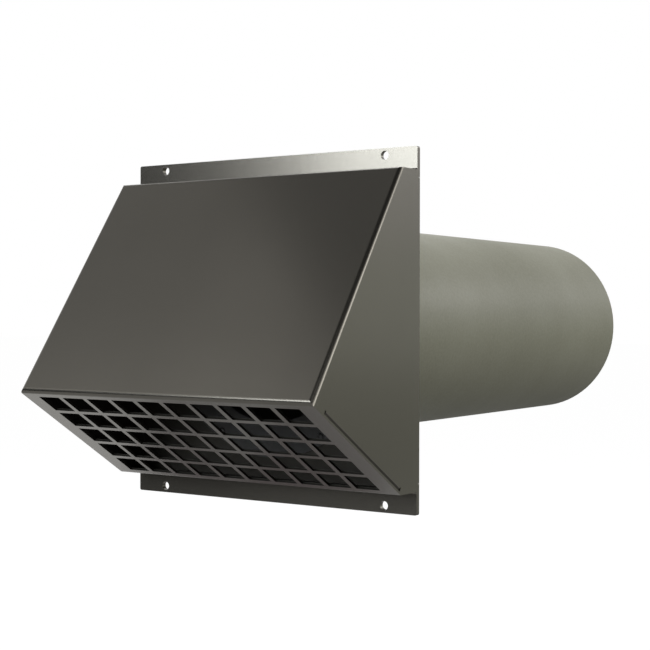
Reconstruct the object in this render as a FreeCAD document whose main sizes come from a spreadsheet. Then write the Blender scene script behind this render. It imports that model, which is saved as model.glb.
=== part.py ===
"""Wall vent terminal: a folded sheet hood with a punched grille, its back plate, a riveted
duct collar and the insulated duct sleeve behind it. Millimetres, +Z up.

The origin is the duct's axis at the plane of the wall. +Y runs into the wall along the duct,
-Y out into the open air under the hood, and +X to the right as seen from outside.
"""
import FreeCAD, Part
import os
import Sketcher

# Driving sizes, each with the word that names it everywhere else
SIZES = [
    ("plate_width", 275.0, "width of the hood and of the back plate"),
    ("plate_height", 280.0, "height over both wall strips"),
    ("plate_sheet", 2.0, "thickness of the back plate"),
    ("hood_sheet", 2.0, "thickness of the hood's sheet"),
    ("flange_strip", 18.0, "height of each wall strip"),
    ("hood_reach", 142.5, "from the front of the wall strips out to the lip"),
    ("top_step", 24.0, "depth of the level face at the top"),
    ("bottom_step", 24.0, "depth of the level face at the bottom"),
    ("lip_rise", 74.0, "height of the lip over the bottom face"),
    ("bend_inner", 1.5, "inside radius of the other folds"),
    ("corner_round", 1.5, "rounded corners of the wall strips and the back plate"),
    ("screw_hole", 7.0, "diameter of the wall screws' holes"),
    ("screw_side_inset", 28.75, "screw hole to the side of the plate"),
    ("screw_edge_inset", 5.5, "screw hole to the upper or lower edge of the plate"),
    ("grille_hole", 20.8, "width of a grille hole, across the hood"),
    ("grille_hole_run", 21.8, "length of a grille hole, along the slope"),
    ("grille_bar", 4.2, "width of a bar between two holes"),
    ("grille_front_margin", 8.0, "solid sheet between the lip and the first row"),
    ("grille_rear_margin", 5.0, "least solid sheet behind the last row"),
    ("grille_side_margin", 14.0, "least solid sheet beside the holes"),
    ("return_start", 18.0, "from the lip back to the cheek's folded-in edge"),
    ("return_end", 4.0, "from the folded-in edge to the rear fold of the underside"),
    ("return_bend", 0.4, "inside radius of the cheek's folded-in edge"),
    ("return_clearance", 1.0, "folded-in edge kept back from the grille holes"),
    ("seam_flat", 0.1, "flat of the folded-in edge that reaches past the seam's root"),
    ("seam_gap", 0.15, "gap between the underside's edge and the cheek's folded-in edge"),
    ("relief_width", 1.2, "width of the notch that frees each end of the cheek's fold"),
    ("relief_margin", 0.5, "how far that notch reaches past the fold"),
    ("tail_inset", 6.0, "from the level faces to the cheek's tail in the back plate"),
    ("tail_gap", 0.3, "play of the cheek's tail in the back plate's notch"),
    ("duct_bore", 150.0, "inside diameter of the duct sleeve"),
    ("duct_wall", 15.0, "thickness of the duct's insulating foam"),
    ("duct_length", 515.0, "length of the duct sleeve"),
    ("duct_chamfer", 1.5, "broken edges at the duct's ends"),
    ("collar_sheet", 1.0, "thickness of the collar"),
    ("collar_reach", 45.0, "length of the collar behind the wall plane"),
    ("collar_play", 0.3, "gap between the collar and the recess that takes it in the duct"),
    ("collar_mouth", 0.8, "eased mouth of the collar where it meets its flange"),
    ("recess_gap", 1.0, "gap between the collar's end and the end of that recess"),
    ("hole_play", 0.4, "gap between the collar and the back plate's opening"),
    ("rivet_ring", 98.0, "radius of the circle of rivets"),
    ("rivet_margin", 6.0, "collar flange outside the circle of rivets"),
    ("rivet_shank", 3.2, "diameter of a rivet's shank"),
    ("rivet_head", 6.4, "diameter of a rivet's head"),
    ("rivet_dome", 1.2, "height of a rivet's head"),
    ("rivet_tail", 2.4, "height of a rivet's upset end"),
    ("rivet_tail_width", 4.8, "diameter of a rivet's upset end"),
    ("rivet_play", 0.05, "gap round a rivet's shank"),
    ("rivet_count", 6, "rivets round the collar"),
]

doc = FreeCAD.newDocument("wall_vent_terminal")
sizes = doc.addObject("Spreadsheet::Sheet", "Sizes")
for row, (alias, number, meaning) in enumerate(SIZES, start=1):
    sizes.set(f"A{row}", meaning)
    sizes.set(f"B{row}", str(number))
    sizes.setAlias(f"B{row}", alias)
doc.recompute()

# Lengths that several pieces share, written with the sheet's words
HALF_WIDTH = "Sizes.plate_width / 2"
HALF_HEIGHT = "Sizes.plate_height / 2"
STRIP_FRONT = "(Sizes.plate_sheet + Sizes.hood_sheet)"
HALF_BODY = "(Sizes.plate_height / 2 - Sizes.flange_strip)"
BEND_OUTER = "(Sizes.bend_inner + Sizes.hood_sheet)"
LIP_OUT = f"({STRIP_FRONT} + Sizes.hood_reach)"
LIP_LEVEL = f"({HALF_BODY} - Sizes.lip_rise)"
UNDER_RUN = "(Sizes.hood_reach - Sizes.bottom_step)"
UNDER_ANGLE = f"atan2(Sizes.lip_rise; {UNDER_RUN})"
UNDER_LENGTH = f"sqrt(Sizes.lip_rise ^ 2 + {UNDER_RUN} ^ 2)"
RETURN_WIDTH = "(Sizes.grille_side_margin - Sizes.return_clearance)"
RETURN_STOP = f"({UNDER_LENGTH} - Sizes.return_end)"
SEAM_START = "(Sizes.return_start - Sizes.relief_width)"
SEAM_STOP = f"({RETURN_STOP} + Sizes.relief_width)"
RETURN_OUTER = "(Sizes.return_bend + Sizes.hood_sheet)"
RELIEF_DEPTH = f"(Sizes.hood_sheet + {RETURN_OUTER} + Sizes.relief_margin)"
SEAM_WIDTH = f"({RETURN_OUTER} + Sizes.seam_flat)"
SCREW_X = "(Sizes.plate_width / 2 - Sizes.screw_side_inset)"
SCREW_Z = "(Sizes.plate_height / 2 - Sizes.screw_edge_inset)"
DUCT_INSIDE = "(Sizes.duct_bore / 2)"
COLLAR_OUTSIDE = "(Sizes.duct_bore / 2 + Sizes.collar_sheet)"
RIVET_HOLE = "(Sizes.rivet_shank / 2 + Sizes.rivet_play)"
NOTCH_HALF = f"({HALF_BODY} - Sizes.tail_inset + Sizes.tail_gap)"
NOTCH_DEPTH = "(Sizes.hood_sheet + Sizes.tail_gap)"
GRILLE_PITCH = "(Sizes.grille_hole + Sizes.grille_bar)"
GRILLE_ROW_PITCH = "(Sizes.grille_hole_run + Sizes.grille_bar)"
GRILLE_WIDTH = "(Sizes.plate_width - 2 * Sizes.grille_side_margin + Sizes.grille_bar)"
GRILLE_COLUMNS = f"floor({GRILLE_WIDTH} / {GRILLE_PITCH})"
GRILLE_DEPTH = f"({UNDER_LENGTH} - Sizes.grille_front_margin - Sizes.grille_rear_margin + Sizes.grille_bar)"
GRILLE_ROWS = f"floor({GRILLE_DEPTH} / {GRILLE_ROW_PITCH})"


def new_body(label):
    body = doc.addObject("PartDesign::Body", label)
    body.Label = label
    return body


def origin_feature(body, role):
    """One of the body's own origin planes or axes."""
    for feature in body.Origin.OriginFeatures:
        if feature.Role == role:
            return feature


def new_sketch(body, name, role, out="0"):
    """An empty sketch on one of the body's origin planes, moved out along the plane's normal."""
    sketch = body.newObject("Sketcher::SketchObject", name)
    sketch.AttachmentSupport = [(origin_feature(body, role), "")]
    sketch.MapMode = "FlatFace"
    if out != "0":
        sketch.setExpression(".AttachmentOffset.Base.z", out)
    doc.recompute()
    return sketch


def value_of(sketch, text):
    return float(sketch.evalExpression(text))


def new_under_sketch(body, name):
    """An empty sketch on the underside's outer surface: x across, y from the lip to the wall."""
    sketch = new_sketch(body, name, "XY_Plane")
    slope = FreeCAD.Rotation(FreeCAD.Vector(-1, 0, 0), 30)
    sketch.AttachmentOffset = FreeCAD.Placement(FreeCAD.Vector(0, 0, 0), slope)
    sketch.setExpression(".AttachmentOffset.Base.y", f"-{LIP_OUT}")
    sketch.setExpression(".AttachmentOffset.Base.z", f"-{LIP_LEVEL}")
    sketch.setExpression(".AttachmentOffset.Rotation.Angle", UNDER_ANGLE)
    doc.recompute()
    return sketch


def pin_point(sketch, name, geometry, point, across, up):
    """Fix one point of a sketch at a place given by two expressions."""
    for kind, axis, text, tail in (("DistanceX", -2, across, "x"), ("DistanceY", -1, up, "y")):
        if text == "0":
            sketch.addConstraint(Sketcher.Constraint("PointOnObject", geometry, point, axis))
            continue
        value = value_of(sketch, text)
        index = sketch.addConstraint(Sketcher.Constraint(kind, -1, 1, geometry, point, value))
        sketch.renameConstraint(index, f"{name}_{tail}")
        sketch.setExpression(f"Constraints.{name}_{tail}", text)


def add_outline(sketch, corners):
    """Draw a closed outline through named corners, each placed by two expressions."""
    places = []
    for name, across, up in corners:
        places.append(FreeCAD.Vector(value_of(sketch, across), value_of(sketch, up), 0))
    first = sketch.GeometryCount
    count = len(corners)
    for step in range(count):
        sketch.addGeometry(Part.LineSegment(places[step], places[(step + 1) % count]), False)
    for step in range(count):
        following = first + (step + 1) % count
        sketch.addConstraint(Sketcher.Constraint("Coincident", first + step, 2, following, 1))
    for step, (name, across, up) in enumerate(corners):
        pin_point(sketch, name, first + step, 1, across, up)


def add_rectangle(sketch, name, left, right, low, high):
    """Draw a rectangle between four expressions."""
    add_outline(sketch, [
        (f"{name}_a", left, low),
        (f"{name}_b", right, low),
        (f"{name}_c", right, high),
        (f"{name}_d", left, high),
    ])


def add_circle(sketch, name, across, up, radius):
    """Draw a circle with its centre and radius given by expressions."""
    centre = FreeCAD.Vector(value_of(sketch, across), value_of(sketch, up), 0)
    size = value_of(sketch, radius)
    geometry = sketch.addGeometry(Part.Circle(centre, FreeCAD.Vector(0, 0, 1), size), False)
    pin_point(sketch, name, geometry, 3, across, up)
    index = sketch.addConstraint(Sketcher.Constraint("Radius", geometry, size))
    sketch.renameConstraint(index, f"{name}_radius")
    sketch.setExpression(f"Constraints.{name}_radius", radius)


def extrude(body, kind, name, sketch, length, reverse=False, symmetric=False):
    """Pad or pocket a sketch by a length given as an expression."""
    feature = body.newObject(f"PartDesign::{kind}", name)
    feature.Profile = (sketch, [""])
    feature.Reversed = reverse
    if symmetric:
        feature.SideType = "Symmetric"
    feature.setExpression("Length", length)
    doc.recompute()
    return feature


def mirror(body, name, originals, role):
    """Repeat features on the other side of one of the body's origin planes."""
    feature = body.newObject("PartDesign::Mirrored", name)
    feature.Originals = originals
    feature.MirrorPlane = (origin_feature(body, role), [""])
    body.Tip = feature
    doc.recompute()
    return feature


def repeat_round(body, name, originals, count):
    """Repeat features in a full circle about the duct's axis."""
    feature = body.newObject("PartDesign::PolarPattern", name)
    feature.Originals = originals
    feature.Axis = (origin_feature(body, "Y_Axis"), [""])
    feature.Angle = 360
    feature.setExpression("Occurrences", count)
    body.Tip = feature
    doc.recompute()
    return feature


def edges_where(feature, direction, wanted):
    """Names of a feature's straight edges along a direction, wanted by middle point and length."""
    along = FreeCAD.Vector(*direction).normalize()
    names = []
    for number, edge in enumerate(feature.Shape.Edges, start=1):
        if edge.Curve.TypeId != "Part::GeomLine":
            continue
        tangent = edge.tangentAt(edge.FirstParameter)
        if abs(tangent.dot(along)) > 1 - 1e-6 and wanted(edge.CenterOfMass, edge.Length):
            names.append(f"Edge{number}")
    return names


def circles_where(feature, wanted):
    """Names of a feature's full circular edges that are wanted by radius and centre."""
    names = []
    for number, edge in enumerate(feature.Shape.Edges, start=1):
        if edge.Curve.TypeId == "Part::GeomCircle" and wanted(edge.Curve.Radius, edge.Curve.Center):
            names.append(f"Edge{number}")
    return names


def dress(body, kind, name, base, edges, property_name, size):
    """Round or bevel the named edges of the body's last feature."""
    feature = body.newObject(f"PartDesign::{kind}", name)
    feature.Base = (base, edges)
    feature.setExpression(property_name, size)
    doc.recompute()
    return feature


def near(first, second):
    return abs(first - second) < 1e-3


# Hood: one sheet folded round the lip, with cheeks folded back from the front panel
hood = new_body("hood")
profile = new_sketch(hood, "hood_profile", "YZ_Plane")
add_outline(profile, [
    ("rear_top", "-Sizes.plate_sheet", HALF_BODY),
    ("top_edge", f"-({STRIP_FRONT} + Sizes.top_step)", HALF_BODY),
    ("lip", f"-{LIP_OUT}", f"-{LIP_LEVEL}"),
    ("under_edge", f"-({STRIP_FRONT} + Sizes.bottom_step)", f"-{HALF_BODY}"),
    ("rear_bottom", "-Sizes.plate_sheet", f"-{HALF_BODY}"),
])
block = extrude(hood, "Pad", "hood_block", profile, "Sizes.plate_width", symmetric=True)
sheet = value_of(profile, "Sizes.hood_sheet")
rear_y = -value_of(profile, "Sizes.plate_sheet")
strip_y = -value_of(profile, STRIP_FRONT)
top_edge_y = -value_of(profile, f"({STRIP_FRONT} + Sizes.top_step)")
under_edge_y = -value_of(profile, f"({STRIP_FRONT} + Sizes.bottom_step)")
lip_y = -value_of(profile, LIP_OUT)
lip_z = -value_of(profile, LIP_LEVEL)
half_body = value_of(profile, HALF_BODY)
half_width = value_of(profile, HALF_WIDTH)
half_height = value_of(profile, HALF_HEIGHT)

shell = hood.newObject("PartDesign::Thickness", "hood_shell")
open_rear = [f"Face{number}" for number, face in enumerate(block.Shape.Faces, start=1)
             if near(face.CenterOfMass.y, rear_y)]
shell.Base = (block, open_rear)
shell.Reversed = True
shell.setExpression("Value", "Sizes.hood_sheet")
doc.recompute()

front_way = (0, top_edge_y - lip_y, half_body - lip_z)
under_way = (0, under_edge_y - lip_y, -half_body - lip_z)
across_way = (1, 0, 0)
outer_places = [(top_edge_y, half_body), (lip_y, lip_z), (under_edge_y, -half_body)]
outer_folds = edges_where(shell, front_way, lambda at, length: near(abs(at.x), half_width))
for fold_y, fold_z in outer_places:
    outer_folds += edges_where(shell, across_way,
                               lambda at, length: near(at.y, fold_y) and near(at.z, fold_z))
outer = dress(hood, "Fillet", "hood_outer_folds", shell, outer_folds, "Radius", BEND_OUTER)
inside = half_width - sheet
inner_folds = edges_where(outer, front_way, lambda at, length: near(abs(at.x), inside))
inner_folds += edges_where(outer, across_way, lambda at, length: near(length, 2 * inside) and at.y < strip_y)
folded = dress(hood, "Fillet", "hood_inner_folds", outer, inner_folds, "Radius", "Sizes.bend_inner")

# Wall strips, folded up and down from the level faces against the back plate
strips = new_sketch(hood, "strip_sketch", "XZ_Plane", "Sizes.plate_sheet")
LEVEL_INSIDE = f"({HALF_BODY} - Sizes.hood_sheet)"
add_rectangle(strips, "upper", f"-{HALF_WIDTH}", HALF_WIDTH, LEVEL_INSIDE, HALF_HEIGHT)
add_rectangle(strips, "lower", f"-{HALF_WIDTH}", HALF_WIDTH, f"-{HALF_HEIGHT}", f"-{LEVEL_INSIDE}")
strip_pad = extrude(hood, "Pad", "wall_strips", strips, "Sizes.hood_sheet")
strip_inner = edges_where(strip_pad, across_way,
                          lambda at, length: near(at.y, strip_y) and near(abs(at.z), half_body))
strip_bend = dress(hood, "Fillet", "strip_front_folds", strip_pad, strip_inner, "Radius", "Sizes.bend_inner")
strip_outer = edges_where(strip_bend, across_way,
                          lambda at, length: near(at.y, rear_y) and near(abs(at.z), half_body - sheet))
strip_back = dress(hood, "Fillet", "strip_rear_folds", strip_bend, strip_outer, "Radius", BEND_OUTER)
strip_corners = edges_where(strip_back, (0, 1, 0),
                            lambda at, length: near(abs(at.x), half_width) and near(abs(at.z), half_height))
dress(hood, "Fillet", "strip_corners", strip_back, strip_corners, "Radius", "Sizes.corner_round")

# Tails on the cheeks' rear edges, which sit in the back plate's notches and reach the wall
tail = new_sketch(hood, "tail_sketch", "YZ_Plane", HALF_WIDTH)
add_rectangle(tail, "tail", "-Sizes.plate_sheet", "0", f"-({HALF_BODY} - Sizes.tail_inset)",
              f"({HALF_BODY} - Sizes.tail_inset)")
tail_pad = extrude(hood, "Pad", "cheek_tail", tail, "Sizes.hood_sheet", reverse=True)
mirror(hood, "cheek_tails", [tail_pad], "YZ_Plane")

# Cheeks' lower edges, folded in behind the side margins of the underside
returns = new_under_sketch(hood, "return_sketch")
RETURN_EDGE = f"({HALF_WIDTH} - {RETURN_WIDTH})"
add_rectangle(returns, "fold", RETURN_EDGE, HALF_WIDTH, "Sizes.return_start", RETURN_STOP)
return_pad = extrude(hood, "Pad", "cheek_return", returns, "Sizes.hood_sheet * 2")
seam = new_under_sketch(hood, "seam_sketch")
add_rectangle(seam, "seam", f"({HALF_WIDTH} - {SEAM_WIDTH})", HALF_WIDTH, SEAM_START, SEAM_STOP)
seam_cut = extrude(hood, "Pocket", "seam_step", seam, "Sizes.hood_sheet", reverse=True)

# Bend reliefs: notches in the cheek that free both ends of its folded-in edge
relief = new_under_sketch(hood, "relief_sketch")
cheek_inside = f"({HALF_WIDTH} - Sizes.hood_sheet)"
add_rectangle(relief, "front", cheek_inside, HALF_WIDTH, SEAM_START, "Sizes.return_start")
add_rectangle(relief, "rear", cheek_inside, HALF_WIDTH, RETURN_STOP, SEAM_STOP)
relief_cut = extrude(hood, "Pocket", "relief_notches", relief, RELIEF_DEPTH, reverse=True)
both = mirror(hood, "cheek_returns", [return_pad, seam_cut, relief_cut], "YZ_Plane")
return_length = value_of(returns, f"{RETURN_STOP} - Sizes.return_start")
return_outer = edges_where(both, under_way,
                           lambda at, length: near(abs(at.x), half_width) and near(length, return_length))
return_bend = dress(hood, "Fillet", "return_outer_folds", both, return_outer, "Radius", RETURN_OUTER)
return_inner = edges_where(return_bend, under_way,
                           lambda at, length: near(abs(at.x), inside) and near(length, return_length))
dress(hood, "Fillet", "return_inner_folds", return_bend, return_inner, "Radius", "Sizes.return_bend")

# The underside's own edge, which runs on over the cheeks' folds and ends flush with the cheeks
edge = new_under_sketch(hood, "edge_sketch")
edge_root = f"({HALF_WIDTH} - {SEAM_WIDTH} - Sizes.hood_sheet)"
add_rectangle(edge, "edge", edge_root, HALF_WIDTH, SEAM_START, SEAM_STOP)
edge_pad = extrude(hood, "Pad", "underside_edge", edge, "(Sizes.hood_sheet - Sizes.seam_gap)")
mirror(hood, "underside_edges", [edge_pad], "YZ_Plane")

# Holes for the four wall screws
screws = new_sketch(hood, "screw_sketch", "XZ_Plane", STRIP_FRONT)
for name, across, up in (("upper", SCREW_X, SCREW_Z), ("lower", SCREW_X, f"-{SCREW_Z}")):
    add_circle(screws, name, across, up, "Sizes.screw_hole / 2")
screw_cut = extrude(hood, "Pocket", "screw_holes_right", screws, STRIP_FRONT)
mirror(hood, "screw_holes", [screw_cut], "YZ_Plane")

# Grille of square holes punched through the underside in rows and columns
grille = new_under_sketch(hood, "grille_sketch")
first_left = f"(-({GRILLE_COLUMNS} - 1) / 2 * {GRILLE_PITCH} - Sizes.grille_hole / 2)"
add_rectangle(grille, "hole", first_left, f"({first_left} + Sizes.grille_hole)", "Sizes.grille_front_margin",
              "(Sizes.grille_front_margin + Sizes.grille_hole_run)")
grille_cut = extrude(hood, "Pocket", "grille_hole_first", grille, "Sizes.hood_sheet", reverse=True)
grille_holes = hood.newObject("PartDesign::LinearPattern", "grille_holes")
grille_holes.Originals = [grille_cut]
grille_holes.Direction = (grille, ["H_Axis"])
grille_holes.Mode = "Spacing"
grille_holes.setExpression("Offset", GRILLE_PITCH)
grille_holes.setExpression("Occurrences", GRILLE_COLUMNS)
grille_holes.Direction2 = (grille, ["V_Axis"])
grille_holes.Mode2 = "Spacing"
grille_holes.setExpression("Offset2", GRILLE_ROW_PITCH)
grille_holes.setExpression("Occurrences2", GRILLE_ROWS)
hood.Tip = grille_holes
doc.recompute()
grille_holes.Spacings2 = [-1] * (grille_holes.Occurrences2 - 1)
doc.recompute()

# Back plate: flat sheet behind the wall strips, notched for the cheeks' tails
back_plate = new_body("back_plate")
plate = new_sketch(back_plate, "plate_sketch", "XZ_Plane")
add_outline(plate, [
    ("low_left", f"-{HALF_WIDTH}", f"-{HALF_HEIGHT}"),
    ("low_right", HALF_WIDTH, f"-{HALF_HEIGHT}"),
    ("notch_a", HALF_WIDTH, f"-{NOTCH_HALF}"),
    ("notch_b", f"({HALF_WIDTH} - {NOTCH_DEPTH})", f"-{NOTCH_HALF}"),
    ("notch_c", f"({HALF_WIDTH} - {NOTCH_DEPTH})", NOTCH_HALF),
    ("notch_d", HALF_WIDTH, NOTCH_HALF),
    ("high_right", HALF_WIDTH, HALF_HEIGHT),
    ("high_left", f"-{HALF_WIDTH}", HALF_HEIGHT),
    ("notch_e", f"-{HALF_WIDTH}", NOTCH_HALF),
    ("notch_f", f"-({HALF_WIDTH} - {NOTCH_DEPTH})", NOTCH_HALF),
    ("notch_g", f"-({HALF_WIDTH} - {NOTCH_DEPTH})", f"-{NOTCH_HALF}"),
    ("notch_h", f"-{HALF_WIDTH}", f"-{NOTCH_HALF}"),
])
add_circle(plate, "opening", "0", "0", f"({COLLAR_OUTSIDE} + Sizes.hole_play)")
plate_pad = extrude(back_plate, "Pad", "plate_pad", plate, "Sizes.plate_sheet")
plate_corners = edges_where(plate_pad, (0, 1, 0),
                            lambda at, length: near(abs(at.x), half_width) and near(abs(at.z), half_height))
dress(back_plate, "Fillet", "plate_corners", plate_pad, plate_corners, "Radius", "Sizes.corner_round")
plate_screws = new_sketch(back_plate, "plate_screw_sketch", "XZ_Plane")
for name, across, up in (("upper", SCREW_X, SCREW_Z), ("lower", SCREW_X, f"-{SCREW_Z}")):
    add_circle(plate_screws, name, across, up, "Sizes.screw_hole / 2")
plate_cut = extrude(back_plate, "Pocket", "plate_holes_right", plate_screws, "Sizes.plate_sheet",
                    reverse=True)
mirror(back_plate, "plate_holes", [plate_cut], "YZ_Plane")
plate_rivet = new_sketch(back_plate, "plate_rivet_sketch", "XZ_Plane")
add_circle(plate_rivet, "rivet", "Sizes.rivet_ring", "0", RIVET_HOLE)
rivet_cut = extrude(back_plate, "Pocket", "plate_rivet_hole", plate_rivet, "Sizes.plate_sheet", reverse=True)
repeat_round(back_plate, "plate_rivet_holes", [rivet_cut], "Sizes.rivet_count")

# Duct collar: a flanged spigot through the back plate's opening, flush inside with the duct's bore
collar = new_body("duct_collar")
spigot = new_sketch(collar, "collar_sketch", "XY_Plane")
FLANGE_FACE = "(Sizes.plate_sheet + Sizes.collar_sheet)"
FLANGE_EDGE = "(Sizes.rivet_ring + Sizes.rivet_margin)"
add_outline(spigot, [
    ("flange_front", FLANGE_EDGE, f"-{FLANGE_FACE}"),
    ("flange_back", FLANGE_EDGE, "-Sizes.plate_sheet"),
    ("fold_outer", COLLAR_OUTSIDE, "-Sizes.plate_sheet"),
    ("end_outer", COLLAR_OUTSIDE, "Sizes.collar_reach"),
    ("end_inner", DUCT_INSIDE, "Sizes.collar_reach"),
    ("fold_inner", DUCT_INSIDE, f"-{FLANGE_FACE}"),
])
collar_turn = collar.newObject("PartDesign::Revolution", "collar_turn")
collar_turn.Profile = (spigot, [""])
collar_turn.ReferenceAxis = (spigot, ["V_Axis"])
collar_turn.Angle = 360
doc.recompute()
mouth_radius = value_of(spigot, DUCT_INSIDE)
flange_y = -value_of(spigot, FLANGE_FACE)
mouth = circles_where(collar_turn,
                      lambda radius, at: near(radius, mouth_radius) and near(at.y, flange_y))
dress(collar, "Chamfer", "collar_mouth", collar_turn, mouth, "Size", "Sizes.collar_mouth")
collar_rivet = new_sketch(collar, "collar_rivet_sketch", "XZ_Plane", "Sizes.plate_sheet")
add_circle(collar_rivet, "rivet", "Sizes.rivet_ring", "0", RIVET_HOLE)
rivet_cut = extrude(collar, "Pocket", "collar_rivet_hole", collar_rivet, "Sizes.collar_sheet", reverse=True)
repeat_round(collar, "collar_rivet_holes", [rivet_cut], "Sizes.rivet_count")

# Blind rivets through the collar's flange and the back plate
rivets = new_body("collar_rivets")
rivets.AllowCompound = True
rivet = new_sketch(rivets, "rivet_sketch", "XY_Plane")
add_outline(rivet, [
    ("head_top", "Sizes.rivet_ring", f"-({FLANGE_FACE} + Sizes.rivet_dome)"),
    ("head_edge", "(Sizes.rivet_ring + Sizes.rivet_head / 2)", f"-({FLANGE_FACE} + Sizes.rivet_dome)"),
    ("head_seat", "(Sizes.rivet_ring + Sizes.rivet_head / 2)", f"-{FLANGE_FACE}"),
    ("shank_front", "(Sizes.rivet_ring + Sizes.rivet_shank / 2)", f"-{FLANGE_FACE}"),
    ("shank_back", "(Sizes.rivet_ring + Sizes.rivet_shank / 2)", "0"),
    ("tail_seat", "(Sizes.rivet_ring + Sizes.rivet_tail_width / 2)", "0"),
    ("tail_edge", "(Sizes.rivet_ring + Sizes.rivet_tail_width / 2)", "Sizes.rivet_tail"),
    ("tail_top", "Sizes.rivet_ring", "Sizes.rivet_tail"),
])
axis_line = Part.LineSegment(FreeCAD.Vector(value_of(rivet, "Sizes.rivet_ring"), 10, 0),
                             FreeCAD.Vector(value_of(rivet, "Sizes.rivet_ring"), 20, 0))
rivet.addGeometry(axis_line, True)
pin_point(rivet, "axis_low", rivet.GeometryCount - 1, 1, "Sizes.rivet_ring", "Sizes.rivet_dome")
axis_top = "(Sizes.rivet_dome + Sizes.rivet_head)"
pin_point(rivet, "axis_high", rivet.GeometryCount - 1, 2, "Sizes.rivet_ring", axis_top)
rivet_turn = rivets.newObject("PartDesign::Revolution", "rivet_turn")
rivet_turn.Profile = (rivet, [""])
rivet_turn.ReferenceAxis = (rivet, ["Axis0"])
rivet_turn.Angle = 360
doc.recompute()
repeat_round(rivets, "rivet_circle", [rivet_turn], "Sizes.rivet_count")

# Duct sleeve: insulating foam tube, recessed at its front end for the collar
duct = new_body("duct_sleeve")
tube = new_sketch(duct, "duct_sketch", "XZ_Plane")
add_circle(tube, "bore", "0", "0", DUCT_INSIDE)
add_circle(tube, "outside", "0", "0", f"({DUCT_INSIDE} + Sizes.duct_wall)")
extrude(duct, "Pad", "duct_tube", tube, "Sizes.duct_length", reverse=True)
recess = new_sketch(duct, "recess_sketch", "XZ_Plane")
add_circle(recess, "recess", "0", "0", f"({COLLAR_OUTSIDE} + Sizes.collar_play)")
recess_cut = extrude(duct, "Pocket", "collar_recess", recess, "(Sizes.collar_reach + Sizes.recess_gap)")
duct_end_y = value_of(tube, "Sizes.duct_length")
duct_ends = circles_where(recess_cut, lambda radius, at: near(at.y, 0) or near(at.y, duct_end_y))
dress(duct, "Chamfer", "duct_ends", recess_cut, duct_ends, "Size", "Sizes.duct_chamfer")

# Every feature has to be sound before anything is written
faults = []
for item in doc.Objects:
    if "Invalid" in item.State or "Error" in item.State:
        faults.append(f"{item.Name}: {item.State}")
PIECES = (hood, back_plate, collar, rivets, duct)
for piece in PIECES:
    if piece.Shape.isNull() or not piece.Shape.isValid():
        faults.append(f"{piece.Label}: shape not valid")
if faults:
    raise RuntimeError("; ".join(faults))
os.makedirs("parts", exist_ok=True)
for piece in PIECES:
    piece.Shape.exportStep(f"parts/{piece.Label}.step")
    print(f"{piece.Label}: {len(piece.Shape.Solids)} solids, {piece.Shape.Volume / 1000:.1f} cm3")
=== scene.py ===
import math

import bmesh
import bpy
from mathutils import Matrix, Vector


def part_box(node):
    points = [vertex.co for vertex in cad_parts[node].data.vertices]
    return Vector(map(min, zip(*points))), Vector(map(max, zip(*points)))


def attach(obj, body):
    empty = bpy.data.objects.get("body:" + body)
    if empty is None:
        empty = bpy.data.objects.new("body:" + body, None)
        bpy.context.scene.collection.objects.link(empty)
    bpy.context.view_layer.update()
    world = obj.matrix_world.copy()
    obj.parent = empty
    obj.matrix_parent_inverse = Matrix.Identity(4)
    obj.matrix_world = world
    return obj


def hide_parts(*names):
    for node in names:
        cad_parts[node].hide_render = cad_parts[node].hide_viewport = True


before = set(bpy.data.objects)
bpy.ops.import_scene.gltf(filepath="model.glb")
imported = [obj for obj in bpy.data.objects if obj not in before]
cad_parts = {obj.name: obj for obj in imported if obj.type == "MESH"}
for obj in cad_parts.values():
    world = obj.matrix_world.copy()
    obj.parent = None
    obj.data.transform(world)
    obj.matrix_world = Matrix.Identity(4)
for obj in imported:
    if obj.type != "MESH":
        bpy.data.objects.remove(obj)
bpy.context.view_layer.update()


# Hood
# One sheet of 2 mm aluminium, punched with the grille and the screw holes, folded at the lip, the
# cheeks and the wall strips, then powder coated in a satin grey-brown with fine metal flake in it.
def fill(tree, node, inputs):
    """Give a node's inputs, each either a plain value or another node's socket."""
    for name, value in inputs.items():
        if isinstance(value, bpy.types.NodeSocket):
            tree.links.new(value, node.inputs[name])
        else:
            node.inputs[name].default_value = value


def add_node(tree, kind, inputs, **settings):
    """Add a node with its settings and its inputs."""
    made = tree.nodes.new(kind)
    for name, value in settings.items():
        setattr(made, name, value)
    fill(tree, made, inputs)
    return made


def maths(tree, operation, *values):
    """Work out one number from others."""
    return add_node(tree, "ShaderNodeMath", dict(enumerate(values)), operation=operation).outputs["Value"]


def ramp(tree, value, start, end, at_start=0.0, at_end=1.0):
    """Turn a value that runs from start to end into another, and hold it level beyond both."""
    return add_node(tree, "ShaderNodeMapRange", {
        "Value": value, "From Min": start, "From Max": end,
        "To Min": at_start, "To Max": at_end}).outputs["Result"]


def noise(tree, place, scale, detail):
    """Soft random patches, smaller as the scale grows."""
    return add_node(tree, "ShaderNodeTexNoise", {
        "Vector": place, "Scale": scale, "Detail": detail}).outputs["Fac"]


# A Mix node's two inputs and its output, by number, as their names are the same for each kind
MIX_SOCKETS = {"FLOAT": (2, 3, 0), "VECTOR": (4, 5, 1), "RGBA": (6, 7, 2)}


def mixed(tree, kind, share, first, second):
    """Blend two numbers, vectors or colours, by the share that the second has."""
    one, other, result = MIX_SOCKETS[kind]
    blend = add_node(tree, "ShaderNodeMix", {"Factor": share, one: first, other: second}, data_type=kind)
    return blend.outputs[result]


def scaled(tree, colour, factor):
    """Make a colour darker or lighter by a factor."""
    return add_node(tree, "ShaderNodeVectorMath", {
        0: colour, "Scale": factor}, operation="SCALE").outputs["Vector"]


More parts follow.
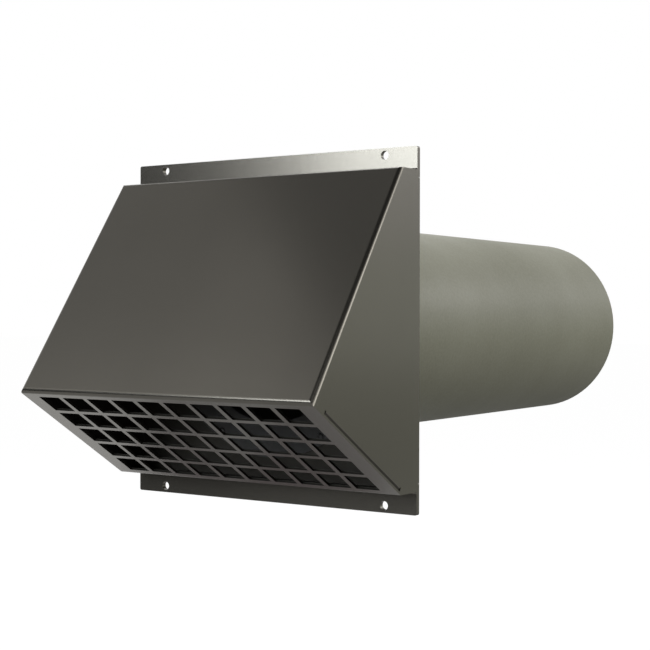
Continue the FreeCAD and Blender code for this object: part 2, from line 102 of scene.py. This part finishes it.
def new_group(name, inputs, outputs):
    """Start a shader node group, and give it with the sockets that come in and its end node."""
    group = bpy.data.node_groups.new(name, "ShaderNodeTree")
    for title, kind, value in inputs:
        group.interface.new_socket(title, in_out="INPUT", socket_type=kind).default_value = value
    for title, kind in outputs:
        group.interface.new_socket(title, in_out="OUTPUT", socket_type=kind)
    return group, group.nodes.new("NodeGroupInput").outputs, group.nodes.new("NodeGroupOutput")


def use_group(tree, group, values):
    """Place a shader node group with its own values, and give what comes out of it."""
    return add_node(tree, "ShaderNodeGroup", values, node_tree=group).outputs


# Soft patches and fine specks of a lighter tone over a darker one
colour_drift, drift_in, drift_out = new_group(
    "colour_drift",
    [
        ("Vector", "NodeSocketVector", (0.0, 0.0, 0.0)),
        ("Patch Scale", "NodeSocketFloat", 8.0),
        ("Speck Scale", "NodeSocketFloat", 1500.0),
        ("Speck Share", "NodeSocketFloat", 0.3),
        ("Dark", "NodeSocketColor", (0.1, 0.1, 0.1, 1.0)),
        ("Light", "NodeSocketColor", (0.2, 0.2, 0.2, 1.0)),
    ],
    [("Colour", "NodeSocketColor"), ("Mask", "NodeSocketFloat")],
)
patches = noise(colour_drift, drift_in["Vector"], drift_in["Patch Scale"], 3.0)
specks = noise(colour_drift, drift_in["Vector"], drift_in["Speck Scale"], 1.0)
speckled = mixed(colour_drift, "FLOAT", drift_in["Speck Share"], patches, specks)
spread = ramp(colour_drift, speckled, 0.32, 0.68)
fill(colour_drift, drift_out, {
    "Colour": mixed(colour_drift, "RGBA", spread, drift_in["Dark"], drift_in["Light"]), "Mask": spread})

# Height of a skin with long shallow waves and a fine grain
skin_relief, relief_in, relief_out = new_group(
    "skin_relief",
    [
        ("Vector", "NodeSocketVector", (0.0, 0.0, 0.0)),
        ("Wave Scale", "NodeSocketFloat", 60.0),
        ("Grain Scale", "NodeSocketFloat", 900.0),
        ("Grain Share", "NodeSocketFloat", 0.4),
    ],
    [("Height", "NodeSocketFloat")],
)
waves = noise(skin_relief, relief_in["Vector"], relief_in["Wave Scale"], 1.0)
grain = noise(skin_relief, relief_in["Vector"], relief_in["Grain Scale"], 2.0)
fill(skin_relief, relief_out, {
    "Height": mixed(skin_relief, "FLOAT", relief_in["Grain Share"], waves, grain)})

# The hood seen from the side: its level top turns down into the sloping front, which folds back
# at the lip into the underside, and that ends at the level bottom
hood_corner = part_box("hood")[1]
WALL_STRIP = 0.018
LEVEL_FACE = hood_corner.z - WALL_STRIP
LEVEL_REACH = 0.028
TOP_FOLD = Vector((0.0, -LEVEL_REACH, LEVEL_FACE))
LIP_FOLD = Vector((0.0, -0.1465, -0.048))
BOTTOM_FOLD = Vector((0.0, -LEVEL_REACH, -LEVEL_FACE))

# Depths under the outside at which the mask turns: within the sheet, and past the bend of the
# cheek's folded-in edge, across and up
SHEET_CORE = (0.0012, 0.0018)
BEND_WIDTH = (0.0033, 0.0037)
BEND_HEIGHT = (0.0050, 0.0060)


def depth_under(tree, place, start, end):
    """How deep a point lies under the sloping face between two folds, the upper one first."""
    outward = (end - start).cross(Vector((1.0, 0.0, 0.0))).normalized()
    reach = add_node(tree, "ShaderNodeVectorMath", {0: place, 1: outward}, operation="DOT_PRODUCT")
    return maths(tree, "SUBTRACT", outward.dot(start), reach.outputs["Value"])


# 1 on surfaces inside the hood, where the coat's tone is darkened as painted shade and made rougher
hood_inside, inside_in, inside_out = new_group(
    "hood_inside", [("Vector", "NodeSocketVector", (0.0, 0.0, 0.0))], [("Mask", "NodeSocketFloat")])
inside_parts = add_node(hood_inside, "ShaderNodeSeparateXYZ", {"Vector": inside_in["Vector"]}).outputs
under_cheek = maths(
    hood_inside, "SUBTRACT", hood_corner.x, maths(hood_inside, "ABSOLUTE", inside_parts["X"]))
under_level = maths(
    hood_inside, "SUBTRACT", LEVEL_FACE, maths(hood_inside, "ABSOLUTE", inside_parts["Z"]))
under_front = depth_under(hood_inside, inside_in["Vector"], TOP_FOLD, LIP_FOLD)
over_grille = depth_under(hood_inside, inside_in["Vector"], LIP_FOLD, BOTTOM_FOLD)
off_wall = maths(hood_inside, "SUBTRACT", 0.0, inside_parts["Y"])
depth = under_cheek
for other_depth in (under_level, under_front, over_grille, off_wall):
    depth = maths(hood_inside, "MINIMUM", depth, other_depth)
# The bend of a cheek's folded-in edge lies behind the underside's margin, but it shows outside and
# is left out of the painted shade
off_bend = maths(
    hood_inside, "MAXIMUM",
    ramp(hood_inside, under_cheek, *BEND_WIDTH), ramp(hood_inside, over_grille, *BEND_HEIGHT))
fill(hood_inside, inside_out, {
    "Mask": maths(hood_inside, "MULTIPLY", ramp(hood_inside, depth, *SHEET_CORE), off_bend)})


def new_material(name):
    """A material with an empty Principled BSDF, and its tree, shader and object coordinates."""
    material = bpy.data.materials.new(name)
    material.use_nodes = True
    tree = material.node_tree
    place = add_node(tree, "ShaderNodeTexCoord", {}).outputs["Object"]
    return material, tree, tree.nodes["Principled BSDF"], place


# Inside the hood: the share of the coat's tone left by the painted shade, and how much rougher it is
INSIDE_SHADE_TONE = 0.38
INSIDE_DULLING = 0.3


def powder_coat(name, dark, light):
    """Satin powder coat with metal flake: a faint drift of tone, orange peel, fine grain, and painted
    shade inside the hood.
    """
    material, tree, shader, place = new_material(name)
    drift = use_group(tree, colour_drift, {
        "Vector": place, "Patch Scale": 7.0, "Speck Scale": 1400.0, "Speck Share": 0.35,
        "Dark": dark, "Light": light})
    within = use_group(tree, hood_inside, {"Vector": place})["Mask"]
    relief = use_group(tree, skin_relief, {
        "Vector": place, "Wave Scale": 180.0, "Grain Scale": 1600.0, "Grain Share": 0.3})
    bump = add_node(tree, "ShaderNodeBump", {
        "Height": relief["Height"], "Strength": 0.02, "Distance": 0.001})
    # Painted shade: the coat's tone is darkened on surfaces inside the hood
    inside_painted_shade = ramp(tree, within, 0.0, 1.0, at_start=1.0, at_end=INSIDE_SHADE_TONE)
    satin = ramp(tree, drift["Mask"], 0.0, 1.0, at_start=0.25, at_end=0.2)
    fill(tree, shader, {
        "Base Color": scaled(tree, drift["Colour"], inside_painted_shade),
        "Metallic": 0.92,
        "Roughness": maths(tree, "MULTIPLY_ADD", within, INSIDE_DULLING, satin),
        "Normal": bump.outputs["Normal"]})
    return material


hood_coat = powder_coat("hood_coat", dark=(0.118, 0.111, 0.095, 1.0), light=(0.142, 0.1335, 0.115, 1.0))
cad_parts["hood"].material_slots[0].material = hood_coat


# Back plate
# Flat aluminium sheet behind the wall strips, cut with a round opening for the duct and coated in
# the same powder as the hood. It hides the opening in the wall.
plate_coat = powder_coat("plate_coat", dark=(0.114, 0.107, 0.092, 1.0), light=(0.136, 0.1275, 0.110, 1.0))
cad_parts["back_plate"].material_slots[0].material = plate_coat


# Duct collar
# Flanged ring of thin sheet, spun and then coated matt. Its dark grey tone is painted shade, for
# the shade inside the hood. The coat is thin, so the fine rings of the spinning tool still show
# through it.
def round_axis(tree, place):
    """From the duct's axis: the way straight out to a point, its length, and how far along it is."""
    outward = add_node(tree, "ShaderNodeVectorMath", {
        0: place, 1: (1.0, 0.0, 1.0)}, operation="MULTIPLY").outputs["Vector"]
    radius = add_node(tree, "ShaderNodeVectorMath", {0: outward}, operation="LENGTH").outputs["Value"]
    along = add_node(tree, "ShaderNodeSeparateXYZ", {"Vector": place}).outputs["Y"]
    return outward, radius, along


collar_coat, collar_tree, collar_shader, collar_place = new_material("collar_coat")
# The dark tones are painted shade, for the shade inside the hood
collar_drift = use_group(collar_tree, colour_drift, {
    "Vector": collar_place, "Patch Scale": 22.0, "Speck Scale": 700.0, "Speck Share": 0.25,
    "Dark": (0.044, 0.043, 0.040, 1.0), "Light": (0.062, 0.061, 0.057, 1.0)})
collar_radius, collar_along = round_axis(collar_tree, collar_place)[1:]
spin_place = add_node(collar_tree, "ShaderNodeCombineXYZ", {"X": collar_radius, "Y": collar_along})
spin_rings = noise(collar_tree, spin_place.outputs["Vector"], 1800.0, 2.0)
collar_bump = add_node(collar_tree, "ShaderNodeBump", {
    "Height": spin_rings, "Strength": 0.12, "Distance": 0.0005})
fill(collar_tree, collar_shader, {
    "Base Color": collar_drift["Colour"],
    "Roughness": ramp(collar_tree, collar_drift["Mask"], 0.0, 1.0, at_start=0.58, at_end=0.46),
    "Normal": collar_bump.outputs["Normal"]})
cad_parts["duct_collar"].material_slots[0].material = collar_coat


# Collar rivets
# Six coated blind rivets through the collar's flange and the back plate. Their dark tone is painted
# shade, for the shade inside the hood. The domed head keeps the stub of the pulled pin in its
# middle, and the barrel is bulged behind the plate.
RIVET_COUNT = 6
RIVET_RING = 0.098
ROUND_STEPS = 24

# Half the rivet's outline, each point a radius and a place along the rivet, from front to rear
pin_stub = [(0.0, -0.00395), (0.0007, -0.00395), (0.0008, -0.0036), (0.001, -0.0036)]
domed_head = [(0.0011, -0.0042), (0.0016, -0.00415), (0.0023, -0.0039), (0.0028, -0.0035),
              (0.0032, -0.003)]
shank = [(0.0016, -0.003), (0.0016, 0.0)]
pulled_bulge = [(0.0021, 0.0002), (0.0024, 0.0008), (0.0024, 0.0015), (0.0020, 0.0022), (0.0012, 0.0024)]
tail_middle = [(0.0, 0.0024)]

rivet_mesh = bmesh.new()
outline = [rivet_mesh.verts.new((radius, along, 0.0))
           for radius, along in pin_stub + domed_head + shank + pulled_bulge + tail_middle]
outline_edges = [rivet_mesh.edges.new(pair) for pair in zip(outline, outline[1:])]
bmesh.ops.spin(rivet_mesh, geom=outline + outline_edges, cent=(0, 0, 0), axis=(0, 1, 0), angle=math.tau,
               steps=ROUND_STEPS, use_merge=True)
bmesh.ops.remove_doubles(rivet_mesh, verts=rivet_mesh.verts, dist=1e-6)
bmesh.ops.recalc_face_normals(rivet_mesh, faces=rivet_mesh.faces)
bmesh.ops.translate(rivet_mesh, verts=rivet_mesh.verts, vec=(RIVET_RING, 0, 0))
first_rivet = rivet_mesh.verts[:] + rivet_mesh.edges[:] + rivet_mesh.faces[:]
for number in range(1, RIVET_COUNT):
    copied = bmesh.ops.duplicate(rivet_mesh, geom=first_rivet)["geom"]
    moved = [item for item in copied if isinstance(item, bmesh.types.BMVert)]
    bmesh.ops.rotate(rivet_mesh, verts=moved, cent=(0, 0, 0),
                     matrix=Matrix.Rotation(math.tau * number / RIVET_COUNT, 3, "Y"))
for face in rivet_mesh.faces:
    face.smooth = True


def piece_from(mesh, name, material):
    """Make a finished object at the origin from a bmesh, with one material."""
    data = bpy.data.meshes.new(name)
    mesh.to_mesh(data)
    mesh.free()
    data.materials.append(material)
    piece = bpy.data.objects.new(name, data)
    bpy.context.scene.collection.objects.link(piece)
    return piece


rivet_coat, rivet_tree, rivet_shader, rivet_place = new_material("rivet_coat")
# The dark tones are painted shade, for the shade inside the hood
rivet_drift = use_group(rivet_tree, colour_drift, {
    "Vector": rivet_place, "Patch Scale": 260.0, "Speck Scale": 2600.0, "Speck Share": 0.3,
    "Dark": (0.063, 0.061, 0.057, 1.0), "Light": (0.088, 0.086, 0.080, 1.0)})
fill(rivet_tree, rivet_shader, {
    "Base Color": rivet_drift["Colour"],
    "Roughness": ramp(rivet_tree, rivet_drift["Mask"], 0.0, 1.0, at_start=0.5, at_end=0.38)})
rivet_heads = piece_from(rivet_mesh, "rivet_heads", rivet_coat)
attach(rivet_heads, "root")
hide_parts("collar_rivets")


# Duct sleeve
# Tube of moulded grey polyethylene foam that slides over the collar. Its skin is matt, with soft
# paler clouds and a fine pebble of closed cells. Its bore is darkened as painted shade, and the
# cells lie open on its cut ends.
duct_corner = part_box("duct_sleeve")[1]
DUCT_LENGTH = duct_corner.y
DUCT_RADIUS = duct_corner.x
FOAM_WALL = 0.015
BORE_RADIUS = DUCT_RADIUS - FOAM_WALL
BROKEN_EDGE = 0.0015

duct_foam, duct_tree, duct_shader, duct_place = new_material("duct_foam")
duct_drift = use_group(duct_tree, colour_drift, {
    "Vector": duct_place, "Patch Scale": 6.5, "Speck Scale": 420.0, "Speck Share": 0.3,
    "Dark": (0.201, 0.200, 0.140, 1.0), "Light": (0.264, 0.262, 0.190, 1.0)})
duct_outward, duct_radius, duct_along = round_axis(duct_tree, duct_place)

# Open cells show on the cut ends and their broken edges
from_end = maths(duct_tree, "MINIMUM", duct_along, maths(duct_tree, "SUBTRACT", DUCT_LENGTH, duct_along))
cut_ends = ramp(duct_tree, from_end, BROKEN_EDGE + 0.0003, BROKEN_EDGE - 0.0003)
open_cells = add_node(duct_tree, "ShaderNodeTexVoronoi", {
    "Vector": duct_place, "Scale": 620.0}).outputs["Distance"]
cell_shade = ramp(duct_tree, open_cells, 0.0, 0.7, at_start=0.72, at_end=1.18)
foam_tone = mixed(
    duct_tree, "RGBA", cut_ends, duct_drift["Colour"], scaled(duct_tree, duct_drift["Colour"], cell_shade))
# Painted shade: the bore is darkened to about a sixth of the foam's tone
bore_painted_shade = ramp(
    duct_tree, duct_radius, BORE_RADIUS + 0.0005, BORE_RADIUS + 0.0016, at_start=0.16, at_end=1.0)
pebble = use_group(duct_tree, skin_relief, {
    "Vector": duct_place, "Wave Scale": 45.0, "Grain Scale": 650.0, "Grain Share": 0.3})
foam_height = maths(
    duct_tree, "ADD", pebble["Height"], maths(duct_tree, "MULTIPLY", open_cells, cut_ends))

# The outer skin takes its normal straight from its place round the axis, so that no seam shows
outward_turned = add_node(duct_tree, "ShaderNodeVectorTransform", {
    "Vector": duct_outward}, vector_type="NORMAL", convert_from="OBJECT", convert_to="WORLD")
skin_normal = add_node(duct_tree, "ShaderNodeVectorMath", {
    0: outward_turned.outputs["Vector"]}, operation="NORMALIZE").outputs["Vector"]
mesh_normal = add_node(duct_tree, "ShaderNodeNewGeometry", {}).outputs["Normal"]
outer_skin = ramp(duct_tree, duct_radius, DUCT_RADIUS - BROKEN_EDGE, DUCT_RADIUS - 0.001)
duct_bump = add_node(duct_tree, "ShaderNodeBump", {
    "Height": foam_height, "Strength": 0.3, "Distance": 0.001,
    "Normal": mixed(duct_tree, "VECTOR", outer_skin, mesh_normal, skin_normal)})
fill(duct_tree, duct_shader, {
    "Base Color": scaled(duct_tree, foam_tone, bore_painted_shade),
    "Roughness": ramp(duct_tree, duct_drift["Mask"], 0.0, 1.0, at_start=0.54, at_end=0.43),
    "Normal": duct_bump.outputs["Normal"]})
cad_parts["duct_sleeve"].material_slots[0].material = duct_foam


# Studio
# A pale floor well under the part, a white surround, and soft lamps. Cards beside, over and under
# the part, most of them plain grey, are seen only in its gloss and shape the reflections there.
FLOOR_LEVEL = -0.45
FLOOR_REACH = 20.0
FLOOR_GLOW = 0.94
FLOOR_IN_GLOSS = 0.5
WHITE = (1.0, 1.0, 1.0, 1.0)


def seen_white(tree, in_gloss):
    """1 where the camera sees this surface, straight or through glass, and a share of it in gloss."""
    path = add_node(tree, "ShaderNodeLightPath", {}).outputs
    direct = maths(tree, "MAXIMUM", path["Is Camera Ray"], path["Is Transmission Ray"])
    return maths(tree, "MAXIMUM", direct, maths(tree, "MULTIPLY", path["Is Glossy Ray"], in_gloss))


def bare_tree(owner):
    """Give a material or a world an empty node tree."""
    owner.use_nodes = True
    owner.node_tree.nodes.clear()
    return owner.node_tree


# The floor's paint is dark, so that it throws little light on the part, and it glows white where
# it is seen
floor_mesh = bmesh.new()
bmesh.ops.create_grid(floor_mesh, x_segments=1, y_segments=1, size=FLOOR_REACH)
bmesh.ops.translate(floor_mesh, verts=floor_mesh.verts, vec=(0, 0, FLOOR_LEVEL))
floor_paint = bpy.data.materials.new("floor_paint")
floor_tree = bare_tree(floor_paint)
floor_matt = add_node(floor_tree, "ShaderNodeBsdfDiffuse", {"Color": (0.12, 0.12, 0.12, 1.0)})
floor_glow = add_node(floor_tree, "ShaderNodeEmission", {
    "Strength": maths(floor_tree, "MULTIPLY", seen_white(floor_tree, FLOOR_IN_GLOSS), FLOOR_GLOW)})
floor_sum = add_node(floor_tree, "ShaderNodeAddShader", {
    0: floor_matt.outputs[0], 1: floor_glow.outputs[0]})
add_node(floor_tree, "ShaderNodeOutputMaterial", {"Surface": floor_sum.outputs[0]})
floor = piece_from(floor_mesh, "floor", floor_paint)

# The world lights the part softly, more from above, and is white where it is seen or mirrored
world = bpy.data.worlds.new("studio")
bpy.context.scene.world = world
world_tree = bare_tree(world)
world_way = add_node(world_tree, "ShaderNodeTexCoord", {}).outputs["Generated"]
world_up = add_node(world_tree, "ShaderNodeSeparateXYZ", {"Vector": world_way}).outputs["Z"]
world_soft = add_node(world_tree, "ShaderNodeBackground", {
    "Color": WHITE, "Strength": ramp(world_tree, world_up, -0.2, 0.9, at_start=0.08, at_end=0.55)})
world_white = add_node(world_tree, "ShaderNodeBackground", {"Color": WHITE, "Strength": 1.0})
world_mix = add_node(world_tree, "ShaderNodeMixShader", {
    0: seen_white(world_tree, 1.0), 1: world_soft.outputs[0], 2: world_white.outputs[0]})
add_node(world_tree, "ShaderNodeOutputWorld", {"Surface": world_mix.outputs[0]})

PART_MIDDLE = Vector((0.0, -0.02, 0.0))
DUCT_MIDDLE = Vector((0.0, 0.3, 0.0))


def place_round(item, target, azimuth, elevation, distance):
    """Put a lamp or card off a target, facing it. Azimuth turns from -Y towards -X, in degrees."""
    turn = math.radians(azimuth)
    rise = math.radians(elevation)
    away = Vector((-math.sin(turn) * math.cos(rise), -math.cos(turn) * math.cos(rise), math.sin(rise)))
    facing = (-away).to_track_quat("-Z", "Y").to_matrix().to_4x4()
    item.matrix_world = Matrix.Translation(target + away * distance) @ facing


def soft_lamp(name, azimuth, elevation, distance, width, tall, power, target=PART_MIDDLE, tint=(1, 1, 1)):
    """A soft light, wide and tall in metres, that the camera doesn't see."""
    data = bpy.data.lights.new(name, "AREA")
    data.color = tint
    data.shape = "RECTANGLE"
    data.size = width
    data.size_y = tall
    data.energy = power
    lamp = bpy.data.objects.new(name, data)
    bpy.context.scene.collection.objects.link(lamp)
    place_round(lamp, target, azimuth, elevation, distance)
    lamp.visible_camera = False


# A cool main light from the front, and weaker ones from above, from behind on the right, from the
# right and from low on the left
soft_lamp("front_lamp", azimuth=17.5, elevation=16.3, distance=2.2, width=1.15, tall=0.9, power=31.0,
          tint=(0.88, 0.935, 1.0))
soft_lamp("top_lamp", azimuth=112.0, elevation=68.0, distance=1.9, width=1.2, tall=1.2, power=15.0,
          target=DUCT_MIDDLE)
soft_lamp("rear_lamp", azimuth=-148.0, elevation=18.5, distance=2.2, width=0.8, tall=0.4, power=3.0)
soft_lamp("right_lamp", azimuth=-115.0, elevation=10.0, distance=2.2, width=1.1, tall=1.1, power=12.5)
soft_lamp("low_lamp", azimuth=104.0, elevation=-38.0, distance=0.65, width=0.4, tall=0.4, power=0.22)


def card(name, azimuth, elevation, distance, width, tall, grey, tint=(1, 1, 1)):
    """A grey or tinted card, wide and tall in metres, that only reflections see."""
    sheet = bmesh.new()
    bmesh.ops.create_grid(sheet, x_segments=1, y_segments=1, size=0.5)
    bmesh.ops.scale(sheet, verts=sheet.verts, vec=(width, tall, 1.0))
    paper = bpy.data.materials.new(name)
    tree = bare_tree(paper)
    glow = add_node(tree, "ShaderNodeEmission", {"Color": (*tint, 1.0), "Strength": grey})
    add_node(tree, "ShaderNodeOutputMaterial", {"Surface": glow.outputs[0]})
    made = piece_from(sheet, name, paper)
    place_round(made, PART_MIDDLE, azimuth, elevation, distance)
    made.visible_camera = False
    made.visible_diffuse = False
    made.visible_shadow = False
    made.visible_transmission = False


# Seen in the upper wall strip, and in the lower one
card("card_left", azimuth=52.0, elevation=6.0, distance=2.0, width=1.1, tall=0.9, grey=0.04)
card("card_low", azimuth=35.0, elevation=-19.0, distance=1.9, width=2.2, tall=1.35, grey=0.02)
# Seen in the right half of the sloping front, and in its left half
card("card_over", azimuth=75.0, elevation=75.5, distance=1.7, width=2.2, tall=1.36, grey=0.18)
card("card_side", azimuth=89.0, elevation=40.0, distance=2.0, width=1.5, tall=1.0, grey=0.5)
# Seen in the lower part of the right cheek, and in its upper part
card("card_rear", azimuth=-150.0, elevation=-14.4, distance=2.2, width=2.4, tall=0.96, grey=0.46,
     tint=(0.97, 1.0, 0.88))
card("card_cheek", azimuth=-150.0, elevation=1.2, distance=2.1, width=2.4, tall=0.3, grey=0.8,
     tint=(0.965, 1.0, 0.92))
# Seen in the bend between the front and the right cheek
card("card_roof", azimuth=-112.0, elevation=58.0, distance=1.8, width=2.8, tall=1.5, grey=0.08)
card("card_fold", azimuth=-34.0, elevation=65.0, distance=1.7, width=1.7, tall=1.1, grey=0.02)
# Seen low on the duct, and the second also in the cheek's folded-in edge
card("card_duct", azimuth=176.0, elevation=-21.0, distance=0.775, width=0.8, tall=0.3, grey=0.26)
card("card_edge", azimuth=-134.0, elevation=-50.0, distance=0.55, width=0.6, tall=0.5, grey=0.2)
# Seen in the left part of the underside, and in its right part
card("card_under", azimuth=126.5, elevation=-49.5, distance=0.43, width=0.235, tall=0.07, grey=0.18,
     tint=(1.12, 0.96, 1.0))
card("card_wall", azimuth=138.5, elevation=-60.0, distance=0.445, width=0.14, tall=0.09, grey=0.2,
     tint=(1.12, 0.96, 1.0))

# The photo's viewpoint, with its angles in degrees
CAMERA_PLACE = (0.6489, -0.9062, 0.0123)
CAMERA_TURN = 33.393
CAMERA_DIP = 0.441
CAMERA_ROLL = 0.109

camera_data = bpy.data.cameras.new("photo_camera")
camera_data.sensor_width = 36.0
camera_data.lens = 75.79
camera = bpy.data.objects.new("photo_camera", camera_data)
bpy.context.scene.collection.objects.link(camera)
camera.matrix_world = (
    Matrix.Translation(CAMERA_PLACE)
    @ Matrix.Rotation(math.radians(CAMERA_TURN), 4, "Z")
    @ Matrix.Rotation(math.radians(90.0 - CAMERA_DIP), 4, "X")
    @ Matrix.Rotation(math.radians(CAMERA_ROLL), 4, "Z")
)
bpy.context.scene.camera = camera
bpy.context.scene.view_settings.view_transform = "Standard"

bpy.context.view_layer.update()
